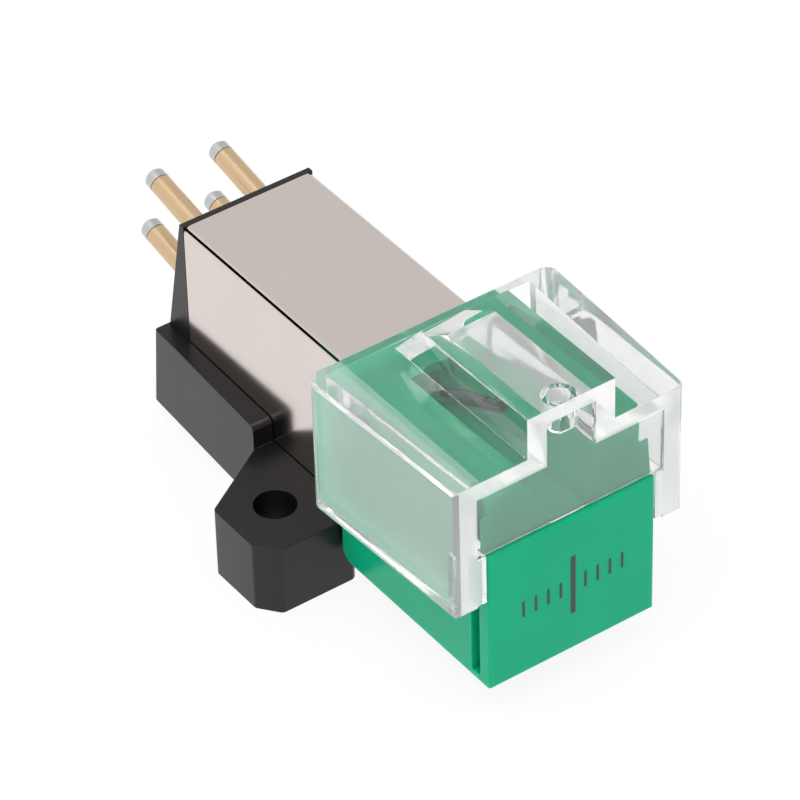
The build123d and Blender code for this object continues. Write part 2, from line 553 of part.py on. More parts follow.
def make_stylus_guard():
    """Clear moulded cover: tapering legs, tunnel, thin front panel, lugs and cheeks that grip the holder."""
    guard = plan_prism(guard_plan(0), GUARD_BOTTOM_Z, GUARD_SHOULDER_Z)
    guard = fillet(vertical_edges(guard).group_by(Axis.Y)[-1], GUARD_REAR_CORNER_RADIUS)
    guard = fillet(vertical_edges(guard).group_by(Axis.Y)[0], GUARD_FRONT_CORNER_RADIUS)
    side_view = Plane.YZ * make_face(Polyline(
        (GUARD_FRONT_Y, GUARD_BOTTOM_Z), (GUARD_REAR_Y, GUARD_BOTTOM_Z),
        (GUARD_REAR_Y, GUARD_SHOULDER_Z), (GUARD_FRONT_Y, GUARD_SHOULDER_Z), close=True))
    feet = side_view.vertices().group_by(Axis.Z)[0].sort_by(Axis.Y)
    side_view = fillet(feet[0], GUARD_FRONT_FOOT_RADIUS)
    feet = side_view.vertices().group_by(Axis.Z)[0].sort_by(Axis.Y)
    side_view = fillet(feet[-1], GUARD_REAR_FOOT_RADIUS)
    guard &= Pos(-GUARD_HALF_WIDTH_REAR, 0, 0) * extrude(side_view, amount=2 * GUARD_HALF_WIDTH_REAR)
    guard -= plan_prism(guard_plan(GUARD_LEG), GUARD_BOTTOM_Z, GUARD_UNDERSIDE_Z)
    guard += side_prism(tunnel_outline(TUNNEL_TOP_Z, GUARD_SHOULDER_Z - GUARD_TOP / 2, 0),
                        -TUNNEL_HALF_WIDTH, TUNNEL_HALF_WIDTH)
    hollow_half_width = TUNNEL_HALF_WIDTH - TUNNEL_WALL
    guard -= side_prism(tunnel_outline(TUNNEL_TOP_Z - TUNNEL_ROOF, GUARD_UNDERSIDE_Z, TUNNEL_REAR_WALL),
                        -hollow_half_width, hollow_half_width)
    leg_middle = GUARD_HALF_WIDTH_FRONT - GUARD_LEG / 2
    panel_y = GUARD_FRONT_Y + PANEL_RECESS
    for half_width, top_z in ((leg_middle, GUARD_SHOULDER_Z - GUARD_TOP / 2),
                              (TUNNEL_HALF_WIDTH - TUNNEL_WALL / 2, TUNNEL_TOP_Z - TUNNEL_ROOF / 2)):
        guard += block(-half_width, half_width, panel_y, panel_y + PANEL_THICKNESS, PANEL_BOTTOM_Z, top_z)
    lug_inner = HOLDER_HALF_WIDTH - GROOVE_DEPTH + LUG_PLAY
    cheek_inner = HOLDER_HALF_WIDTH + LUG_PLAY
    for _, side in SIDES:
        for inner, front_y in ((lug_inner, GROOVE_FRONT_Y + LUG_PLAY), (cheek_inner, GUARD_FRONT_Y)):
            ends = sorted((side * inner, side * leg_middle))
            guard += block(ends[0], ends[1], front_y, GROOVE_FRONT_Y + GROOVE_WIDTH - LUG_PLAY,
                           GUARD_BOTTOM_Z + GUARD_FRONT_FOOT_RADIUS, PANEL_BOTTOM_Z)
    gate_length = GATE_LENGTH + TUNNEL_ROOF / 2
    gate_top_z = TUNNEL_TOP_Z - TUNNEL_ROOF / 2
    gate = Cylinder(GATE_DIAMETER / 2, gate_length) - Cylinder(GATE_BORE / 2, gate_length)
    broken_end = Rot(GATE_BREAK_ANGLE, 0, 0) * Box(2 * GATE_DIAMETER, 2 * GATE_DIAMETER, 2 * gate_length)
    gate &= Pos(0, 0, gate_length / 2) * broken_end
    return guard + Pos(0, GUARD_FRONT_Y + GATE_SET_BACK, gate_top_z - gate_length / 2) * gate


def build_nodes():
    nodes = {
        "mount_frame": make_mount_frame(),
        "shield_can": make_shield_can(),
        "terminal_block": make_terminal_block(),
    }
    for name, plane in PINS:
        nodes[f"terminal_pin_{name}"] = make_terminal_pin(plane)
        nodes[f"solder_tip_{name}"] = make_solder_tip(plane)
    for name, side in SIDES:
        nodes[f"pole_core_{name}"] = make_pole_core(side)
        nodes[f"bobbin_{name}"] = make_bobbin(side)
        nodes[f"winding_{name}"] = make_winding(side)
        nodes[f"magnet_{name}"] = make_magnet(side)
    nodes.update(
        stylus_holder=make_stylus_holder(),
        suspension_sleeve=make_sleeve(),
        damper=make_damper(),
        wire_anchor=make_wire_anchor(),
        tie_wire=make_tie_wire(),
        pivot_collar=make_pivot_collar(),
        cantilever=make_cantilever(),
        magnet_carrier=make_magnet_carrier(),
        tip_shank=make_tip_shank(),
        stylus_tip=make_stylus_tip(),
        stylus_guard=make_stylus_guard(),
    )
    return nodes


os.makedirs("parts", exist_ok=True)
for node_name, solid in build_nodes().items():
    export_step(solid, f"parts/{node_name}.step")
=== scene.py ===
import json
from math import cos, radians, sin

import bmesh
import bpy
from bpy.props import FloatProperty, FloatVectorProperty, IntProperty, PointerProperty
from bpy.types import Operator, Panel, PropertyGroup
from mathutils import Matrix, Vector


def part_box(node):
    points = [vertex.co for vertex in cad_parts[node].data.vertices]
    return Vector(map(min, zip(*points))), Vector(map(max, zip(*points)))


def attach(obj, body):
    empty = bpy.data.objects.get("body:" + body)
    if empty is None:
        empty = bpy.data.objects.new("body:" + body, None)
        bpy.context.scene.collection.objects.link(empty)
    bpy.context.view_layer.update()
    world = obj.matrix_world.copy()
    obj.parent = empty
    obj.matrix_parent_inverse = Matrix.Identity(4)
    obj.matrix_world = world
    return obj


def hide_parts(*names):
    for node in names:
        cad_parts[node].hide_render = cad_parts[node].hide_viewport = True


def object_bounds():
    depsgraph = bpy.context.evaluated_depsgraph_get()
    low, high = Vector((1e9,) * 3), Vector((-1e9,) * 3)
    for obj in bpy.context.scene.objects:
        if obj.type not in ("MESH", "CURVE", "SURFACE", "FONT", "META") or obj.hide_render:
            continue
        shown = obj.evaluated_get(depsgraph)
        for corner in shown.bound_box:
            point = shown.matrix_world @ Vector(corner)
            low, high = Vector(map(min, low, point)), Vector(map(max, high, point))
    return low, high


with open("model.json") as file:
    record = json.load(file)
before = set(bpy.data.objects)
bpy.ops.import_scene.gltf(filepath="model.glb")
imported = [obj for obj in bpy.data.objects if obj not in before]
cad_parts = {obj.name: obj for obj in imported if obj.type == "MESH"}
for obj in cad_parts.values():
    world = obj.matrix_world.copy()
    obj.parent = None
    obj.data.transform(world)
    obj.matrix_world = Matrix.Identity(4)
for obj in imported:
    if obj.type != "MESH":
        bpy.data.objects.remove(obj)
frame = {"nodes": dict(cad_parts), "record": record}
CAD_LOW, CAD_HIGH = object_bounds()

bl_info = {
    "name": "Phono cartridge finishes",
    "version": (1, 0, 0),
    "blender": (4, 5, 0),
    "location": "3D View > Sidebar > Cartridge",
    "description": "Dresses a moving-magnet phono cartridge and sets it on a pale studio floor",
    "category": "Object",
}

# Everything is in metres in the frame of the solids: mounting face at Z 0, stylus side up, front plate at -Y.
MM = 0.001
NODES = frame["nodes"]
RECORD = frame["record"]
BODY_OF = {node: body for body, members in RECORD["behaviour"]["bodies"].items() for node in members}
SIDES = ("left", "right")
CORNERS = ("upper_left", "upper_right", "lower_left", "lower_right")

# Copies of the nodes: points this close are merged, edges this flat are dissolved, sharper ones are rounded.
MERGE_DISTANCE = 0.0005 * MM
FLAT_ANGLE = radians(0.5)
EDGE_ANGLE = radians(40)

# The guard's materials in the order of their slots, and where each begins: FACING is the least cosine of a
# face that faces an axis, the depths run from the front and the roof, and the margin from the holder's side.
CLEAR, EDGE, WALL, CEILING, PANEL = range(5)
FACING = cos(radians(20))
END_DEPTH = 0.05 * MM
PANEL_DEPTH = 0.4 * MM
ROOF_DEPTH = 1.2 * MM
WALL_MARGIN = 0.3 * MM

# The stage: how far the floor lies under the part, how much of it is seen as pure white, the camera's sensor
# and reach, the cosines between which the tent's opening dims, and the bounces that paths in the guard need.
FLOOR_DROP = 0.01 * MM
FLOOR_GLOW = 0.9
SENSOR_WIDTH = 36.0
NEAREST, FARTHEST = 10 * MM, 10000 * MM
OPENING_RIM, OPENING_MIDDLE = 0.5, 0.95
CLEAR_BOUNCES = 32
WHITE = (1.0, 1.0, 1.0, 1.0)


def linear(hex_colour):
    """Linear RGBA of an sRGB hex value such as #1EA57D."""
    channels = [int(hex_colour[start:start + 2], 16) / 255 for start in (1, 3, 5)]
    return [c / 12.92 if c <= 0.04045 else ((c + 0.055) / 1.055) ** 2.4 for c in channels] + [1.0]


def colour(name, description, hex_colour):
    """A colour property with an sRGB default."""
    return FloatVectorProperty(name=name, description=description, subtype="COLOR", size=4, min=0.0, max=1.0,
                               default=linear(hex_colour))


def length(name, description, millimetres):
    """A length property with a default in millimetres."""
    return FloatProperty(name=name, description=description, subtype="DISTANCE", unit="LENGTH", precision=6,
                         default=millimetres * MM)


def position(name, description, millimetres):
    """A place property with a default in millimetres."""
    return FloatVectorProperty(name=name, description=description, subtype="TRANSLATION", unit="LENGTH",
                               size=3, default=[value * MM for value in millimetres])


def power(name, description, watts):
    """A lamp's power property."""
    return FloatProperty(name=name, description=description, unit="POWER", default=watts)


def share(name, description, value):
    """A property between 0 and 1."""
    return FloatProperty(name=name, description=description, subtype="FACTOR", min=0.0, max=1.0,
                         default=value)


class CartridgeColours(PropertyGroup):
    """Colours of the cartridge's finishes."""
    frame_black: colour("Frame black", "Moulded frame and terminal block", "#131211")
    shield_metal: colour("Shield", "Satin nickel of the folded shield", "#DDD3CE")
    pin_gold: colour("Pins", "Plating of the terminal pins", "#D9BC96")
    solder_grey: colour("Solder", "Solder that closes the pins", "#C4C6C4")
    holder_green: colour("Holder green", "Moulded stylus holder", "#08A278")
    guard_clear: colour("Guard", "Tint of the clear guard", "#FFFFFF")
    ink: colour("Ink", "Pad print on the front plate", "#2E3A36")
    copper: colour("Copper", "Enamelled wire of the windings", "#B4642F")
    cantilever_grey: colour("Cantilever", "Dark anodised cantilever tube", "#3C3D40")
    pole_steel: colour("Pole steel", "Stamped pole pieces", "#8E8F92")
    nylon: colour("Nylon", "Bobbins and magnet carrier", "#D8D2C2")
    aluminium: colour("Aluminium", "Suspension sleeve and pivot collar", "#D3D4D6")
    wire_steel: colour("Wire steel", "Tie wire and tip shank", "#B9BABD")
    brass: colour("Brass", "Turned wire anchor", "#C9A45C")
    elastomer: colour("Elastomer", "Damping ring", "#1B1B1C")
    magnet_grey: colour("Magnets", "Sintered magnets", "#4A4A4D")
    diamond: colour("Diamond", "Tint of the stylus tip", "#F4F6FA")
    floor_white: colour("Floor", "Studio floor", "#F4F4F4")


class CartridgeDetails(PropertyGroup):
    """Small sizes that the finishes add to the solids."""
    moulded_edge: length("Moulded edge", "Edge radius of the black mouldings", 0.09)
    holder_edge: length("Holder edge", "Edge radius of the green moulding", 0.08)
    guard_edge: length("Guard edge", "Edge radius of the clear guard", 0.07)
    sheet_edge: length("Sheet edge", "Edge radius of the shield's cut sheet", 0.03)
    pin_edge: length("Pin edge", "Edge radius of the terminal pins", 0.06)
    wire_diameter: length("Wire", "Winding wire, drawn several times coarser than the real one to show", 0.1)
    print_width: length("Print width", "Width of the scale printed on the front plate", 5.6)
    print_line: length("Print line", "Width of a printed line", 0.13)
    print_short: length("Short line", "Length of the scale's short lines", 0.9)
    print_long: length("Long line", "Length of the scale's middle line", 3.4)
    print_drop: length("Print drop", "From the holder's middle down to the scale's", 1.4)
    print_film: length("Print film", "Thickness of the ink film", 0.012)
    print_ticks: IntProperty(name="Print ticks", description="Lines in the printed scale", default=9, min=3)


class GuardClarity(PropertyGroup):
    """How much of the light the guard's plastic lets through; the rest makes it milky. The milkier edges,
    walls, ceiling and panel are painted light.
    """
    clear: share("Clear", "Over the holder", 0.985)
    # Edges and end faces: milkier than the plastic itself, as a painted highlight.
    edge: share("Edges", "At the rounded edges and the front end faces", 0.53)
    # Side walls: milkier than the plastic itself, so they render paler, as a painted sheen.
    wall: share("Walls", "At the side walls", 0.865)
    # Ceiling of the tunnel: much milkier than the plastic itself, as a painted highlight band.
    ceiling: share("Ceiling", "At the ceiling of the tunnel", 0.65)
    # Front panel: milkier than the plastic itself, a painted reflection that also makes up lamp light the
    # guard blocks.
    panel: share("Panel", "At the thin front panel", 0.955)


class StudioSettings(PropertyGroup):
    """Camera and light."""
    azimuth: FloatProperty(name="Azimuth", description="Camera's turn about Z", subtype="ANGLE",
                           default=radians(-34.764))
    elevation: FloatProperty(name="Elevation", description="Camera's height above the horizon",
                             subtype="ANGLE", default=radians(39.139))
    roll: FloatProperty(name="Roll", description="Camera's turn about its own axis", subtype="ANGLE",
                        default=radians(-1.589))
    distance: length("Distance", "From the camera to its target", 239.71)
    lens: FloatProperty(name="Lens", description="Focal length in millimetres", default=226.82)
    target: position("Target", "Point that the camera looks at", (2.008, 1.573, 5.0))
    floor_size: length("Floor size", "Side of the square floor", 3000.0)
    key_power: power("Key", "Power of the softbox overhead", 0.9)
    key_place: position("Key place", "Middle of the softbox overhead", (-140.0, -40.0, 420.0))
    key_size: length("Key size", "Side of the softbox overhead", 300.0)
    rim_power: power("Rim", "Power of the strip light behind, which draws the clear edges", 0.6)
    rim_place: position("Rim place", "Middle of the strip light behind", (-50.0, 287.0, 342.0))
    rim_length: length("Rim length", "Length of the strip light behind", 300.0)
    rim_width: length("Rim width", "Width of the strip light behind", 40.0)
    fill_power: power("Fill", "Power of the small softbox at the front right", 0.08)
    fill_place: position("Fill place", "Middle of the small softbox", (220.0, -200.0, 400.0))
    fill_size: length("Fill size", "Side of the small softbox", 80.0)
    tent_level: share("Tent", "Brightness of the light tent", 0.98)
    tent_dim: share("Tent opening", "Brightness of the tent's dimmer rear right", 0.78)
    opening: FloatVectorProperty(name="Opening", description="Way to the middle of the tent's dimmer part",
                                 subtype="DIRECTION", size=3, default=(0.5, 0.62, 0.6))


def add_node(tree, kind, inputs=None, **settings):
    """Adds a node with its settings; an input given as a socket is linked, any other is set."""
    node = tree.nodes.new(kind)
    for name, value in settings.items():
        setattr(node, name, value)
    for key, value in (inputs or {}).items():
        if isinstance(value, bpy.types.NodeSocket):
            tree.links.new(value, node.inputs[key])
        else:
            node.inputs[key].default_value = value
    return node


def start_material(name):
    """An empty node material, its tree and its Object coordinates."""
    material = bpy.data.materials.new(name)
    material.use_nodes = True
    tree = material.node_tree
    tree.nodes.clear()
    return material, tree, add_node(tree, "ShaderNodeTexCoord").outputs["Object"]


def end_material(tree, sockets):
    """Closes a material with a Principled shader."""
    shader = add_node(tree, "ShaderNodeBsdfPrincipled", sockets)
    add_node(tree, "ShaderNodeOutputMaterial", {"Surface": shader.outputs["BSDF"]})


def per_metre(millimetres):
    """Noise scale whose features are about that size."""
    return 1.0 / (millimetres * MM)


def toned(shade, factor):
    """The same colour with its channels multiplied."""
    return [channel * factor for channel in shade[:3]] + [1.0]


def black_abs_moulded(colours):
    """ABS from a finely eroded mould: near black and satin, so it takes a soft grey from what it reflects."""
    material, tree, place = start_material("black_abs_moulded")
    grain = add_node(tree, "ShaderNodeTexNoise", {"Vector": place, "Scale": per_metre(0.16), "Detail": 3.0})
    flow = add_node(tree, "ShaderNodeTexNoise", {"Vector": place, "Scale": per_metre(2.6), "Detail": 2.0})
    shade = add_node(tree, "ShaderNodeMix", {0: flow.outputs["Fac"], 6: toned(colours.frame_black, 0.75),
                                             7: toned(colours.frame_black, 1.3)}, data_type="RGBA")
    rough = add_node(tree, "ShaderNodeMapRange",
                     {"Value": flow.outputs["Fac"], "To Min": 0.26, "To Max": 0.4})
    bump = add_node(tree, "ShaderNodeBump",
                    {"Strength": 0.2, "Distance": 0.012 * MM, "Height": grain.outputs["Fac"]})
    end_material(tree, {"Base Color": shade.outputs[2], "Roughness": rough.outputs[0], "IOR": 1.46,
                        "Specular IOR Level": 0.42, "Normal": bump.outputs["Normal"]})
    return material


def satin_nickel_sheet(colours):
    """Nickel-plated sheet, rolled and satin: a soft mirror with a faint rolling grain along its length."""
    material, tree, place = start_material("satin_nickel_sheet")
    rolled = add_node(tree, "ShaderNodeMapping", {"Vector": place, "Scale": (1.0, 0.06, 1.0)})
    grain = add_node(tree, "ShaderNodeTexNoise",
                     {"Vector": rolled.outputs["Vector"], "Scale": per_metre(0.12), "Detail": 4.0,
                      "Roughness": 0.6})
    cloud = add_node(tree, "ShaderNodeTexNoise", {"Vector": place, "Scale": per_metre(3.0), "Detail": 2.0})
    shade = add_node(tree, "ShaderNodeMix", {0: cloud.outputs["Fac"], 6: toned(colours.shield_metal, 0.96),
                                             7: colours.shield_metal}, data_type="RGBA")
    rough = add_node(tree, "ShaderNodeMapRange",
                     {"Value": grain.outputs["Fac"], "To Min": 0.13, "To Max": 0.2})
    bump = add_node(tree, "ShaderNodeBump",
                    {"Strength": 0.05, "Distance": 0.002 * MM, "Height": grain.outputs["Fac"]})
    end_material(tree, {"Base Color": shade.outputs[2], "Metallic": 1.0, "Roughness": rough.outputs[0],
                        "Normal": bump.outputs["Normal"]})
    return material


def gold_plated_brass(colours):
    """Thin gold over drawn brass tube: warm and semi-bright, with faint drawing lines along the pin."""
    material, tree, place = start_material("gold_plated_brass")
    drawn = add_node(tree, "ShaderNodeMapping", {"Vector": place, "Scale": (1.0, 0.1, 1.0)})
    lines = add_node(tree, "ShaderNodeTexNoise",
                     {"Vector": drawn.outputs["Vector"], "Scale": per_metre(0.1), "Detail": 3.0})
    shade = add_node(tree, "ShaderNodeMix", {0: lines.outputs["Fac"], 6: toned(colours.pin_gold, 0.94),
                                             7: colours.pin_gold}, data_type="RGBA")
    rough = add_node(tree, "ShaderNodeMapRange",
                     {"Value": lines.outputs["Fac"], "To Min": 0.22, "To Max": 0.28})
    end_material(tree, {"Base Color": shade.outputs[2], "Metallic": 1.0, "Roughness": rough.outputs[0]})
    return material


def tin_solder(colours):
    """Solder that set as a drop: bright, with the slight ripple of a cooled skin."""
    material, tree, place = start_material("tin_solder")
    ripple = add_node(tree, "ShaderNodeTexNoise", {"Vector": place, "Scale": per_metre(0.3), "Detail": 2.0})
    rough = add_node(tree, "ShaderNodeMapRange",
                     {"Value": ripple.outputs["Fac"], "To Min": 0.16, "To Max": 0.32})
    bump = add_node(tree, "ShaderNodeBump",
                    {"Strength": 0.1, "Distance": 0.02 * MM, "Height": ripple.outputs["Fac"]})
    end_material(tree, {"Base Color": colours.solder_grey, "Metallic": 1.0, "Roughness": rough.outputs[0],
                        "Normal": bump.outputs["Normal"]})
    return material


def green_abs_polished(colours):
    """Coloured ABS from a polished mould: glossy, and light enters it a little, so thin edges glow."""
    material, tree, place = start_material("green_abs_polished")
    flow = add_node(tree, "ShaderNodeTexNoise", {"Vector": place, "Scale": per_metre(3.2), "Detail": 2.0})
    shade = add_node(tree, "ShaderNodeMix", {0: flow.outputs["Fac"], 6: toned(colours.holder_green, 0.92),
                                             7: toned(colours.holder_green, 1.06)}, data_type="RGBA")
    rough = add_node(tree, "ShaderNodeMapRange",
                     {"Value": flow.outputs["Fac"], "To Min": 0.12, "To Max": 0.22})
    sink = add_node(tree, "ShaderNodeTexNoise", {"Vector": place, "Scale": per_metre(1.4), "Detail": 1.0})
    bump = add_node(tree, "ShaderNodeBump",
                    {"Strength": 0.1, "Distance": 0.03 * MM, "Height": sink.outputs["Fac"]})
    end_material(tree, {"Base Color": shade.outputs[2], "Roughness": rough.outputs[0], "IOR": 1.5,
                        "Specular IOR Level": 0.15, "Subsurface Weight": 0.5, "Subsurface Scale": 0.8 * MM,
                        "Subsurface Radius": (0.3, 1.0, 0.7), "Normal": bump.outputs["Normal"]})
    return material


def clear_polystyrene(name, colours, clarity):
    """Clear polystyrene: it mirrors its own walls, so edges draw bright lines; what isn't clear is milky, and
    less clear copies serve as painted light.
    """
    material, tree, place = start_material(name)
    flow = add_node(tree, "ShaderNodeTexNoise", {"Vector": place, "Scale": per_metre(2.2), "Detail": 1.0})
    bump = add_node(tree, "ShaderNodeBump",
                    {"Strength": 0.02, "Distance": 0.01 * MM, "Height": flow.outputs["Fac"]})
    end_material(tree, {"Base Color": colours.guard_clear, "Roughness": 0.015, "IOR": 1.45,
                        "Transmission Weight": clarity, "Normal": bump.outputs["Normal"]})
    return material


def painted_highlight_polystyrene_edge(colours, clarity):
    """Edges and end faces of the clear guard, where the light in the wall leaves it: made milky white there
    as a painted highlight of that light.
    """
    material, tree, place = start_material("painted_highlight_polystyrene_edge")
    frost = add_node(tree, "ShaderNodeTexNoise", {"Vector": place, "Scale": per_metre(0.5), "Detail": 2.0})
    rough = add_node(tree, "ShaderNodeMapRange",
                     {"Value": frost.outputs["Fac"], "To Min": 0.12, "To Max": 0.3})
    end_material(tree, {"Base Color": colours.guard_clear, "Roughness": rough.outputs[0], "IOR": 1.5,
                        "Transmission Weight": clarity})
    return material


def pad_print_ink(colours):
    """Pad-printing ink: a thin dark film, a little duller than the plastic and uneven in its cover."""
    material, tree, place = start_material("pad_print_ink")
    cover = add_node(tree, "ShaderNodeTexNoise", {"Vector": place, "Scale": per_metre(0.25), "Detail": 3.0})
    shade = add_node(tree, "ShaderNodeMix", {0: cover.outputs["Fac"], 6: toned(colours.ink, 0.7),
                                             7: colours.ink}, data_type="RGBA")
    end_material(tree, {"Base Color": shade.outputs[2], "Roughness": 0.42})
    return material


def metal(name, base, low, high, grain_mm):
    """A plain metal: its colour, roughness and surface vary a little, in a grain of the given width."""
    material, tree, place = start_material(name)
    grain = add_node(tree, "ShaderNodeTexNoise",
                     {"Vector": place, "Scale": per_metre(grain_mm), "Detail": 3.0})
    shade = add_node(tree, "ShaderNodeMix", {0: grain.outputs["Fac"], 6: toned(base, 0.8), 7: base},
                     data_type="RGBA")
    rough = add_node(tree, "ShaderNodeMapRange",
                     {"Value": grain.outputs["Fac"], "To Min": low, "To Max": high})
    bump = add_node(tree, "ShaderNodeBump",
                    {"Strength": 0.2, "Distance": 0.006 * MM, "Height": grain.outputs["Fac"]})
    end_material(tree, {"Base Color": shade.outputs[2], "Metallic": 1.0, "Roughness": rough.outputs[0],
                        "Normal": bump.outputs["Normal"]})
    return material


def plain_moulding(name, base, low, high, grain_mm):
    """An uncoated plastic or rubber: a fine grain in its colour, roughness and surface."""
    material, tree, place = start_material(name)
    grain = add_node(tree, "ShaderNodeTexNoise",
                     {"Vector": place, "Scale": per_metre(grain_mm), "Detail": 3.0})
    shade = add_node(tree, "ShaderNodeMix", {0: grain.outputs["Fac"], 6: toned(base, 0.85), 7: base},
                     data_type="RGBA")
    rough = add_node(tree, "ShaderNodeMapRange",
                     {"Value": grain.outputs["Fac"], "To Min": low, "To Max": high})
    bump = add_node(tree, "ShaderNodeBump",
                    {"Strength": 0.2, "Distance": 0.01 * MM, "Height": grain.outputs["Fac"]})
    end_material(tree, {"Base Color": shade.outputs[2], "Roughness": rough.outputs[0],
                        "Normal": bump.outputs["Normal"]})
    return material


def enamelled_copper(colours):
    """Copper wire under clear enamel: reddish metal with a glossy coat."""
    material, tree, place = start_material("enamelled_copper")
    tone = add_node(tree, "ShaderNodeTexNoise", {"Vector": place, "Scale": per_metre(0.4), "Detail": 2.0})
    shade = add_node(tree, "ShaderNodeMix", {0: tone.outputs["Fac"], 6: toned(colours.copper, 0.75),
                                             7: colours.copper}, data_type="RGBA")
    end_material(tree, {"Base Color": shade.outputs[2], "Metallic": 1.0, "Roughness": 0.3, "Coat Weight": 0.6,
                        "Coat Roughness": 0.08})
    return material


def dark_anodised_aluminium(colours):
    """Drawn aluminium tube, anodised dark: a dull metal sheen with fine drawing marks."""
    material, tree, place = start_material("dark_anodised_aluminium")
    drawn = add_node(tree, "ShaderNodeTexNoise", {"Vector": place, "Scale": per_metre(0.1), "Detail": 2.0})
    rough = add_node(tree, "ShaderNodeMapRange",
                     {"Value": drawn.outputs["Fac"], "To Min": 0.3, "To Max": 0.45})
    end_material(tree, {"Base Color": colours.cantilever_grey, "Metallic": 0.8,
                        "Roughness": rough.outputs[0]})
    return material


def ground_diamond(colours):
    """A ground diamond: clear, strongly refracting, with the haze of its grinding."""
    material, tree, place = start_material("ground_diamond")
    facets = add_node(tree, "ShaderNodeTexNoise",
                      {"Vector": place, "Scale": per_metre(0.05), "Detail": 2.0})
    rough = add_node(tree, "ShaderNodeMapRange",
                     {"Value": facets.outputs["Fac"], "To Min": 0.02, "To Max": 0.12})
    end_material(tree, {"Base Color": colours.diamond, "Roughness": rough.outputs[0], "IOR": 2.42,
                        "Transmission Weight": 1.0})
    return material


def new_piece(name, mesh, body):
    """Puts a finished mesh in the scene on its body."""
    piece = bpy.data.objects.new(name, mesh)
    bpy.context.scene.collection.objects.link(piece)
    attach(piece, body)
    return piece


def plain_mesh(piece):
    """The piece's evaluated mesh; the piece itself is removed."""
    depsgraph = bpy.context.evaluated_depsgraph_get()
    mesh = bpy.data.meshes.new_from_object(piece.evaluated_get(depsgraph))
    bpy.data.objects.remove(piece)
    return mesh


def edged_copy(node, radius, material, segments=3, edge_material=None, cuts=()):
    """A merged copy of a node with its sharp edges rounded, shown in the node's place.

    With an edge material, the rounded edges take it. Faces are parted at the cuts, places along X."""
    mesh = bpy.data.meshes.new(f"{node}_edged")
    form = bmesh.new()
    form.from_mesh(NODES[node].data)
    bmesh.ops.remove_doubles(form, verts=form.verts, dist=MERGE_DISTANCE)
    bmesh.ops.dissolve_limit(form, angle_limit=FLAT_ANGLE, verts=form.verts, edges=form.edges)
    for cut in cuts:
        whole = form.verts[:] + form.edges[:] + form.faces[:]
        bmesh.ops.bisect_plane(form, geom=whole, plane_co=(cut, 0.0, 0.0), plane_no=(1.0, 0.0, 0.0))
    form.to_mesh(mesh)
    form.free()
    carrier = bpy.data.objects.new(f"{node}_carrier", mesh)
    bpy.context.scene.collection.objects.link(carrier)
    mesh.shade_smooth()
    mesh.set_sharp_from_angle(angle=EDGE_ANGLE)
    edge = carrier.modifiers.new("edge_radius", "BEVEL")
    edge.width = radius
    edge.segments = segments
    edge.limit_method = "ANGLE"
    edge.angle_limit = EDGE_ANGLE
    edge.use_clamp_overlap = True
    edge.harden_normals = True
    edge.material = 1 if edge_material else 0
    finished = plain_mesh(carrier)
    finished.materials.clear()
    finished.materials.append(material)
    if edge_material:
        finished.materials.append(edge_material)
    piece = new_piece(f"{node}_finished", finished, BODY_OF[node])
    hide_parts(node)
    return piece


def finish_node(node, material):
    """Gives a node its material and smooth round faces; its shape stays."""
    mesh = NODES[node].data
    mesh.materials.clear()
    mesh.materials.append(material)
    mesh.shade_smooth()


def run_tree(name, tree, values):
    """Runs a geometry tree with its named inputs set, and gives the result as a plain mesh."""
    carrier = bpy.data.objects.new(f"{name}_carrier", bpy.data.meshes.new(f"{name}_start"))
    bpy.context.scene.collection.objects.link(carrier)
    modifier = carrier.modifiers.new("build", "NODES")
    modifier.node_group = tree
    for item in tree.interface.items_tree:
        if item.name in values:
            modifier[item.identifier] = values[item.name]
    return plain_mesh(carrier)


def start_tree(name, inputs):
    """A geometry tree with named inputs, and its input node."""
    tree = bpy.data.node_groups.new(name, "GeometryNodeTree")
    tree.interface.new_socket("Geometry", in_out="INPUT", socket_type="NodeSocketGeometry")
    for label, kind in inputs:
        tree.interface.new_socket(label, in_out="INPUT", socket_type=kind)
    tree.interface.new_socket("Geometry", in_out="OUTPUT", socket_type="NodeSocketGeometry")
    return tree, add_node(tree, "NodeGroupInput").outputs


def end_tree(tree, instances, material):
    """Closes a geometry tree with real geometry and a material."""
    solid = add_node(tree, "GeometryNodeRealizeInstances", {"Geometry": instances})
    painted = add_node(tree, "GeometryNodeSetMaterial",
                       {"Geometry": solid.outputs[0], "Material": material})
    add_node(tree, "NodeGroupOutput", {0: painted.outputs[0]})
    return tree


def winding_tree(material):
    """Turns of round wire stacked in one layer from the origin up."""
    tree, given = start_tree("winding_turns", [
        ("Turns", "NodeSocketInt"), ("Coil Radius", "NodeSocketFloat"), ("Wire Radius", "NodeSocketFloat"),
        ("Pitch", "NodeSocketVector")])
    path = add_node(tree, "GeometryNodeCurvePrimitiveCircle",
                    {"Resolution": 40, "Radius": given["Coil Radius"]})
    section = add_node(tree, "GeometryNodeCurvePrimitiveCircle",
                       {"Resolution": 6, "Radius": given["Wire Radius"]})
    turn = add_node(tree, "GeometryNodeCurveToMesh",
                    {"Curve": path.outputs[0], "Profile Curve": section.outputs[0]})
    stack = add_node(tree, "GeometryNodeMeshLine", {"Count": given["Turns"], "Offset": given["Pitch"]})
    turns = add_node(tree, "GeometryNodeInstanceOnPoints",
                     {"Points": stack.outputs[0], "Instance": turn.outputs[0]})
    return end_tree(tree, turns.outputs[0], material)


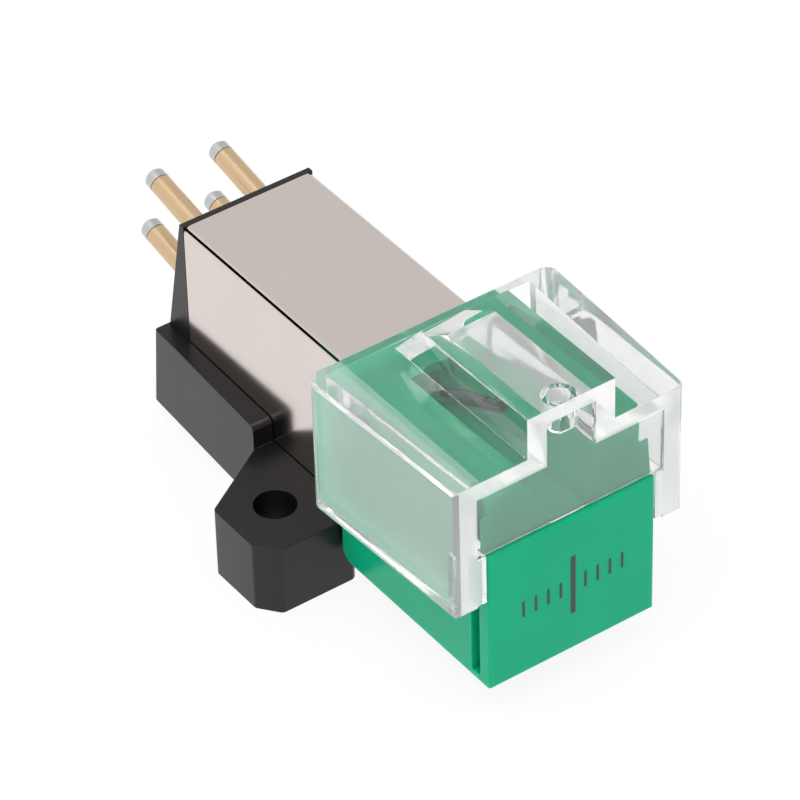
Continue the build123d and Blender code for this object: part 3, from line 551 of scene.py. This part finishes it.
def scale_tree(material):
    """A row of printed lines, the middle one longest, that starts at the origin and runs along X."""
    tree, given = start_tree("printed_scale", [
        ("Lines", "NodeSocketInt"), ("Middle", "NodeSocketInt"), ("Step", "NodeSocketVector"),
        ("Line", "NodeSocketVector"), ("Long Line", "NodeSocketVector")])
    row = add_node(tree, "GeometryNodeMeshLine", {"Count": given["Lines"], "Offset": given["Step"]})
    number = add_node(tree, "GeometryNodeInputIndex")
    middle = add_node(tree, "FunctionNodeCompare", {2: number.outputs[0], 3: given["Middle"]},
                      data_type="INT", operation="EQUAL")
    size = add_node(tree, "GeometryNodeSwitch", {"Switch": middle.outputs[0], "False": given["Line"],
                                                 "True": given["Long Line"]}, input_type="VECTOR")
    line = add_node(tree, "GeometryNodeMeshCube", {"Size": (1.0, 1.0, 1.0)})
    lines = add_node(tree, "GeometryNodeInstanceOnPoints",
                     {"Points": row.outputs[0], "Instance": line.outputs[0], "Scale": size.outputs[0]})
    return end_tree(tree, lines.outputs[0], material)


class CARTRIDGE_OT_mouldings(Operator):
    """Finish the black mounting frame and terminal block"""
    bl_idname = "cartridge.mouldings"
    bl_label = "Black mouldings"

    def execute(self, context):
        scene = context.scene
        material = black_abs_moulded(scene.cartridge_colours)
        for node in ("mount_frame", "terminal_block"):
            edged_copy(node, scene.cartridge_details.moulded_edge, material)
        return {"FINISHED"}


class CARTRIDGE_OT_shield(Operator):
    """Finish the folded shield"""
    bl_idname = "cartridge.shield"
    bl_label = "Shield"

    def execute(self, context):
        scene = context.scene
        material = satin_nickel_sheet(scene.cartridge_colours)
        edged_copy("shield_can", scene.cartridge_details.sheet_edge, material, segments=2)
        return {"FINISHED"}


class CARTRIDGE_OT_terminals(Operator):
    """Finish the four terminal pins and the solder in them"""
    bl_idname = "cartridge.terminals"
    bl_label = "Terminals"

    def execute(self, context):
        scene = context.scene
        plating = gold_plated_brass(scene.cartridge_colours)
        solder = tin_solder(scene.cartridge_colours)
        for corner in CORNERS:
            edged_copy(f"terminal_pin_{corner}", scene.cartridge_details.pin_edge, plating, segments=2)
            finish_node(f"solder_tip_{corner}", solder)
        return {"FINISHED"}


class CARTRIDGE_OT_holder(Operator):
    """Finish the green stylus holder"""
    bl_idname = "cartridge.holder"
    bl_label = "Stylus holder"

    def execute(self, context):
        scene = context.scene
        material = green_abs_polished(scene.cartridge_colours)
        edged_copy("stylus_holder", scene.cartridge_details.holder_edge, material)
        return {"FINISHED"}


class CARTRIDGE_OT_plate_print(Operator):
    """Print a plain cueing scale on the holder's front plate"""
    bl_idname = "cartridge.plate_print"
    bl_label = "Front print"

    def execute(self, context):
        scene = context.scene
        details = scene.cartridge_details
        low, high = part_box("stylus_holder")
        lines = details.print_ticks
        step = details.print_width / (lines - 1)
        thick = 2 * details.print_film
        mesh = run_tree("plate_print", scale_tree(pad_print_ink(scene.cartridge_colours)), {
            "Lines": lines, "Middle": lines // 2, "Step": (step, 0.0, 0.0),
            "Line": (details.print_line, thick, details.print_short),
            "Long Line": (2 * details.print_line, thick, details.print_long)})
        height = (low.z + high.z) / 2 - details.print_drop
        mesh.transform(Matrix.Translation((-details.print_width / 2, low.y, height)))
        new_piece("plate_print", mesh, "stylus")
        return {"FINISHED"}


class CARTRIDGE_OT_guard(Operator):
    """Finish the clear stylus guard"""
    bl_idname = "cartridge.guard"
    bl_label = "Stylus guard"

    def execute(self, context):
        scene = context.scene
        colours = scene.cartridge_colours
        clarity = scene.cartridge_clarity
        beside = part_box("stylus_holder")[1].x + WALL_MARGIN
        guard = edged_copy("stylus_guard", scene.cartridge_details.guard_edge,
                           clear_polystyrene("clear_polystyrene", colours, clarity.clear),
                           edge_material=painted_highlight_polystyrene_edge(colours, clarity.edge),
                           cuts=(-beside, beside))
        mesh = guard.data
        # The side walls take a milkier copy of the same plastic: painted sheen.
        mesh.materials.append(clear_polystyrene("painted_sheen_polystyrene_wall", colours, clarity.wall))
        # The tunnel's ceiling takes a milkier copy of the same plastic: painted highlight.
        mesh.materials.append(clear_polystyrene("painted_highlight_polystyrene_ceiling", colours, clarity.ceiling))
        # The thin front panel takes a milkier copy of the same plastic: painted reflection and painted light.
        mesh.materials.append(clear_polystyrene("painted_reflection_polystyrene_panel", colours, clarity.panel))
        low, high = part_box("stylus_guard")
        # Faces take the painted-light copies by place: edges and end faces, front panel, side walls, tunnel
        # ceiling.
        for face in mesh.polygons:
            from_front = face.center.y - low.y
            from_roof = high.z - face.center.z
            if abs(face.normal.y) > FACING and from_front < PANEL_DEPTH:
                face.material_index = EDGE if from_front < END_DEPTH else PANEL
            elif face.material_index == CLEAR and abs(face.center.x) > beside:
                face.material_index = WALL
            elif face.material_index == CLEAR and face.normal.z < -FACING and from_roof < ROOF_DEPTH:
                face.material_index = CEILING
        return {"FINISHED"}


class CARTRIDGE_OT_coils(Operator):
    """Finish the pole pieces and bobbins, and wind the coils"""
    bl_idname = "cartridge.coils"
    bl_label = "Coils"

    def execute(self, context):
        colours = context.scene.cartridge_colours
        wire = context.scene.cartridge_details.wire_diameter
        tree = winding_tree(enamelled_copper(colours))
        steel = metal("silicon_steel_stamped", colours.pole_steel, 0.32, 0.5, 0.15)
        nylon = plain_moulding("natural_nylon_moulded", colours.nylon, 0.45, 0.6, 0.2)
        for side in SIDES:
            finish_node(f"pole_core_{side}", steel)
            finish_node(f"bobbin_{side}", nylon)
            node = f"winding_{side}"
            low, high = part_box(node)
            turns = int((high.z - low.z) / wire)
            mesh = run_tree(f"{node}_turns", tree, {
                "Turns": turns, "Coil Radius": (high.x - low.x - wire) / 2, "Wire Radius": wire / 2,
                "Pitch": (0.0, 0.0, wire)})
            middle = (low + high) / 2
            mesh.transform(Matrix.Translation((middle.x, middle.y, middle.z - wire * (turns - 1) / 2)))
            mesh.shade_smooth()
            piece = new_piece(f"{node}_turns", mesh, BODY_OF[node])
            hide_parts(node)
        return {"FINISHED"}


class CARTRIDGE_OT_suspension(Operator):
    """Finish the cantilever, its suspension and its magnets"""
    bl_idname = "cartridge.suspension"
    bl_label = "Suspension"

    def execute(self, context):
        colours = context.scene.cartridge_colours
        aluminium = metal("drawn_aluminium", colours.aluminium, 0.22, 0.38, 0.08)
        steel = metal("drawn_steel_wire", colours.wire_steel, 0.2, 0.35, 0.06)
        magnet = metal("sintered_magnet", colours.magnet_grey, 0.5, 0.7, 0.06)
        finishes = {
            "suspension_sleeve": aluminium,
            "pivot_collar": aluminium,
            "cantilever": dark_anodised_aluminium(colours),
            "tie_wire": steel,
            "tip_shank": steel,
            "wire_anchor": metal("turned_brass", colours.brass, 0.2, 0.36, 0.08),
            "damper": plain_moulding("butyl_elastomer", colours.elastomer, 0.6, 0.75, 0.12),
            "magnet_carrier": plain_moulding("natural_nylon_carrier", colours.nylon, 0.45, 0.6, 0.15),
            "stylus_tip": ground_diamond(colours),
        }
        for side in SIDES:
            finishes[f"magnet_{side}"] = magnet
        for node, material in finishes.items():
            finish_node(node, material)
        return {"FINISHED"}


def studio_floor(colours):
    """White sheet: it is seen nearly white with a pale shadow, and bounces light as plain white paper."""
    material = bpy.data.materials.new("white_paper_sweep")
    material.use_nodes = True
    tree = material.node_tree
    tree.nodes.clear()
    paper = add_node(tree, "ShaderNodeBsdfDiffuse", {"Color": colours.floor_white})
    glow = add_node(tree, "ShaderNodeEmission", {"Color": WHITE, "Strength": 1.0})
    ray = add_node(tree, "ShaderNodeLightPath").outputs
    seen = add_node(tree, "ShaderNodeMath", {0: ray["Is Camera Ray"], 1: ray["Is Glossy Ray"]},
                    operation="MAXIMUM")
    shown = add_node(tree, "ShaderNodeMath", {0: seen.outputs[0], 1: ray["Is Transmission Ray"]},
                     operation="MAXIMUM")
    white = add_node(tree, "ShaderNodeMath", {0: shown.outputs[0], 1: FLOOR_GLOW}, operation="MULTIPLY")
    top = add_node(tree, "ShaderNodeMixShader",
                   {0: white.outputs[0], 1: paper.outputs[0], 2: glow.outputs[0]})
    below = add_node(tree, "ShaderNodeBsdfTransparent")
    facing = add_node(tree, "ShaderNodeNewGeometry").outputs["Backfacing"]
    sheet = add_node(tree, "ShaderNodeMixShader", {0: facing, 1: top.outputs[0], 2: below.outputs[0]})
    add_node(tree, "ShaderNodeOutputMaterial", {"Surface": sheet.outputs[0]})
    return material


def light_tent(studio):
    """World of a light tent: even and white, dimmer where the tent is open behind the cartridge's right."""
    world = bpy.data.worlds.new("light_tent")
    world.use_nodes = True
    tree = world.node_tree
    tree.nodes.clear()
    ray = add_node(tree, "ShaderNodeTexCoord").outputs["Generated"]
    opening = Vector(studio.opening).normalized()
    facing = add_node(tree, "ShaderNodeVectorMath", {0: ray, 1: opening}, operation="DOT_PRODUCT")
    level = add_node(tree, "ShaderNodeMapRange", {"Value": facing.outputs["Value"], "From Min": OPENING_RIM,
                                                  "From Max": OPENING_MIDDLE, "To Min": studio.tent_level,
                                                  "To Max": studio.tent_dim}, interpolation_type="SMOOTHSTEP")
    back = add_node(tree, "ShaderNodeBackground", {"Color": WHITE, "Strength": level.outputs[0]})
    add_node(tree, "ShaderNodeOutputWorld", {"Surface": back.outputs[0]})
    return world


def add_softbox(name, place, target, width, height, watts, lit=()):
    """A rectangular lamp at a place, turned to the target. Where lit names pieces, it lights only them."""
    lamp = bpy.data.lights.new(name, "AREA")
    lamp.shape = "RECTANGLE"
    lamp.size = width
    lamp.size_y = height
    lamp.energy = watts
    turn = (target - Vector(place)).to_track_quat("-Z", "Y").to_matrix().to_4x4()
    box = bpy.data.objects.new(name, lamp)
    box.matrix_world = Matrix.Translation(place) @ turn
    bpy.context.scene.collection.objects.link(box)
    if lit:
        box.light_linking.receiver_collection = bpy.data.collections.new(f"{name}_lit")
        for piece in lit:
            box.light_linking.receiver_collection.objects.link(bpy.data.objects[piece])


def add_camera(studio):
    """Camera at the photographed viewing angle."""
    azimuth, elevation = studio.azimuth, studio.elevation
    back = Vector((sin(azimuth) * cos(elevation), -cos(azimuth) * cos(elevation), sin(elevation)))
    level = Vector((0.0, 0.0, 1.0)).cross(back).normalized()
    upright = back.cross(level)
    right = cos(studio.roll) * level + sin(studio.roll) * upright
    up = cos(studio.roll) * upright - sin(studio.roll) * level
    lens = bpy.data.cameras.new("photo_camera")
    lens.lens = studio.lens
    lens.sensor_width = SENSOR_WIDTH
    lens.clip_start = NEAREST
    lens.clip_end = FARTHEST
    camera = bpy.data.objects.new("photo_camera", lens)
    turn = Matrix((right, up, back)).transposed().to_4x4()
    camera.matrix_world = Matrix.Translation(Vector(studio.target) + back * studio.distance) @ turn
    bpy.context.scene.collection.objects.link(camera)
    bpy.context.scene.camera = camera


class CARTRIDGE_OT_stage(Operator):
    """Set the floor, the lamps, the light tent and the camera"""
    bl_idname = "cartridge.stage"
    bl_label = "Stage"

    def execute(self, context):
        scene = context.scene
        studio = scene.cartridge_studio
        half = studio.floor_size / 2
        corners = [(-half, -half), (half, -half), (half, half), (-half, half)]
        mesh = bpy.data.meshes.new("floor")
        mesh.from_pydata([(x, y, -FLOOR_DROP) for x, y in corners], [], [(0, 1, 2, 3)])
        mesh.materials.append(studio_floor(scene.cartridge_colours))
        floor = bpy.data.objects.new("floor", mesh)
        scene.collection.objects.link(floor)
        scene.world = light_tent(studio)
        middle = (CAD_LOW + CAD_HIGH) / 2
        add_softbox("key_softbox", studio.key_place, middle, studio.key_size, studio.key_size,
                    studio.key_power)
        add_softbox("rim_strip", studio.rim_place, middle, studio.rim_length, studio.rim_width,
                    studio.rim_power, lit=("stylus_guard_finished",))
        add_softbox("fill_softbox", studio.fill_place, middle, studio.fill_size, studio.fill_size,
                    studio.fill_power)
        add_camera(studio)
        scene.view_settings.view_transform = "Standard"
        scene.cycles.max_bounces = CLEAR_BOUNCES
        scene.cycles.transmission_bounces = CLEAR_BOUNCES
        scene.cycles.glossy_bounces = CLEAR_BOUNCES
        return {"FINISHED"}


PIECES = (
    CARTRIDGE_OT_mouldings,
    CARTRIDGE_OT_shield,
    CARTRIDGE_OT_terminals,
    CARTRIDGE_OT_coils,
    CARTRIDGE_OT_suspension,
    CARTRIDGE_OT_holder,
    CARTRIDGE_OT_plate_print,
    CARTRIDGE_OT_guard,
    CARTRIDGE_OT_stage,
)


class CARTRIDGE_PT_sidebar(Panel):
    """Lists the cartridge's pieces and their settings"""
    bl_label = "Cartridge"
    bl_idname = "CARTRIDGE_PT_sidebar"
    bl_space_type = "VIEW_3D"
    bl_region_type = "UI"
    bl_category = "Cartridge"

    def draw(self, context):
        for name in SETTINGS:
            box = self.layout.box()
            settings = getattr(context.scene, name)
            for field in settings.__annotations__:
                box.prop(settings, field)
        for piece in PIECES:
            self.layout.operator(piece.bl_idname)


SETTINGS = {
    "cartridge_colours": CartridgeColours,
    "cartridge_details": CartridgeDetails,
    "cartridge_clarity": GuardClarity,
    "cartridge_studio": StudioSettings,
}
CLASSES = (*SETTINGS.values(), *PIECES, CARTRIDGE_PT_sidebar)


def register():
    for item in CLASSES:
        bpy.utils.register_class(item)
    for name, group in SETTINGS.items():
        setattr(bpy.types.Scene, name, PointerProperty(type=group))


def unregister():
    for name in SETTINGS:
        delattr(bpy.types.Scene, name)
    for item in reversed(CLASSES):
        bpy.utils.unregister_class(item)


def main():
    """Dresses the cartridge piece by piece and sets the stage."""
    register()
    for piece in PIECES:
        family, action = piece.bl_idname.split(".")
        getattr(getattr(bpy.ops, family), action)()


if __name__ == "__main__":
    main()
